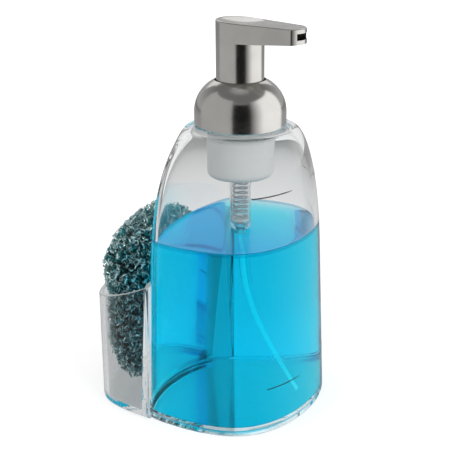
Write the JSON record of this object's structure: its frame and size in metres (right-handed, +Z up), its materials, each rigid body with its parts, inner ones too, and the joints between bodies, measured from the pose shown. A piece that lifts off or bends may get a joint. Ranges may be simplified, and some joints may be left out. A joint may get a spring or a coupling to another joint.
{
  "type": "soap pump caddy",
  "caption": "Clear free-standing soap bottle with a brushed metal foaming pump and a clear rear pocket that holds a steel scrubber.",
  "frame": {"origin": "on the pump axis, at the base's underside", "axes": "+Z up along the pump axis, -Y towards the front and the spout, +Y towards the scrubber pocket"},
  "size_m": [0.1054, 0.1176, 0.2042],
  "materials": {
    "clear_plastic": "polished clear acrylic",
    "liquid_soap": "clear cyan liquid",
    "brushed_nickel": "satin brushed nickel",
    "milky_plastic": "natural translucent polypropylene",
    "white_plastic": "moulded white polypropylene",
    "dark_plastic": "moulded black",
    "seal_rubber": "soft elastomer",
    "spring_steel": "drawn stainless wire",
    "scrubber_steel": "knitted stainless steel ribbon, mostly air"
  },
  "bodies": {
    "caddy": {"base_plate": "clear_plastic", "bottle_shell": "clear_plastic", "scrubber_pocket": "clear_plastic", "soap_fill": "liquid_soap"},
    "engine": {"pump_housing": "milky_plastic", "neck_gasket": "seal_rubber", "piston_stop_ring": "white_plastic", "valve_cage": "white_plastic", "return_spring": "spring_steel", "dip_tube": "milky_plastic"},
    "collar": {"dome_collar": "brushed_nickel", "closure_ring": "white_plastic"},
    "plunger": {"feed_piston": "white_plastic", "air_piston": "white_plastic", "air_valve": "seal_rubber"},
    "head": {"actuator_shell": "brushed_nickel", "actuator_core": "white_plastic", "spout_liner": "dark_plastic", "mesh_carrier": "white_plastic", "foam_mesh_lower": "white_plastic", "foam_mesh_upper": "white_plastic"},
    "ball": {"inlet_ball": "spring_steel"},
    "scrubber": {"scrubber": "scrubber_steel"}
  },
  "joints": [
    {"name": "pump_rise", "type": "slide", "parent": "caddy", "child": "engine", "axis": [0, 0, 1], "range_m": [0, 0.005]},
    {"name": "collar_turn", "type": "hinge", "parent": "engine", "child": "collar", "pos_m": [0, 0, 0.157], "axis": [0, 0, 1], "range_deg": [0, 450]},
    {"name": "pump_stroke", "type": "slide", "parent": "engine", "child": "plunger", "axis": [0, 0, -1], "range_m": [0, 0.013], "stiffness_N_per_m": 600, "springref_m": -0.006, "deforming": ["return_spring"]},
    {"name": "head_swivel", "type": "hinge", "parent": "plunger", "child": "head", "pos_m": [0, 0, 0.18], "axis": [0, 0, 1], "continuous": true},
    {"name": "inlet_ball_lift", "type": "slide", "parent": "engine", "child": "ball", "axis": [0, 0, 1], "range_m": [0, 0.0008]},
    {"name": "scrubber_lift", "type": "slide", "parent": "caddy", "child": "scrubber", "axis": [0, 0, 1], "range_m": [0, 0.1]}
  ],
  "couplings": [
    {"joint": "collar_turn", "follows": "pump_rise", "rad_per_m": 1570.8}
  ]
}
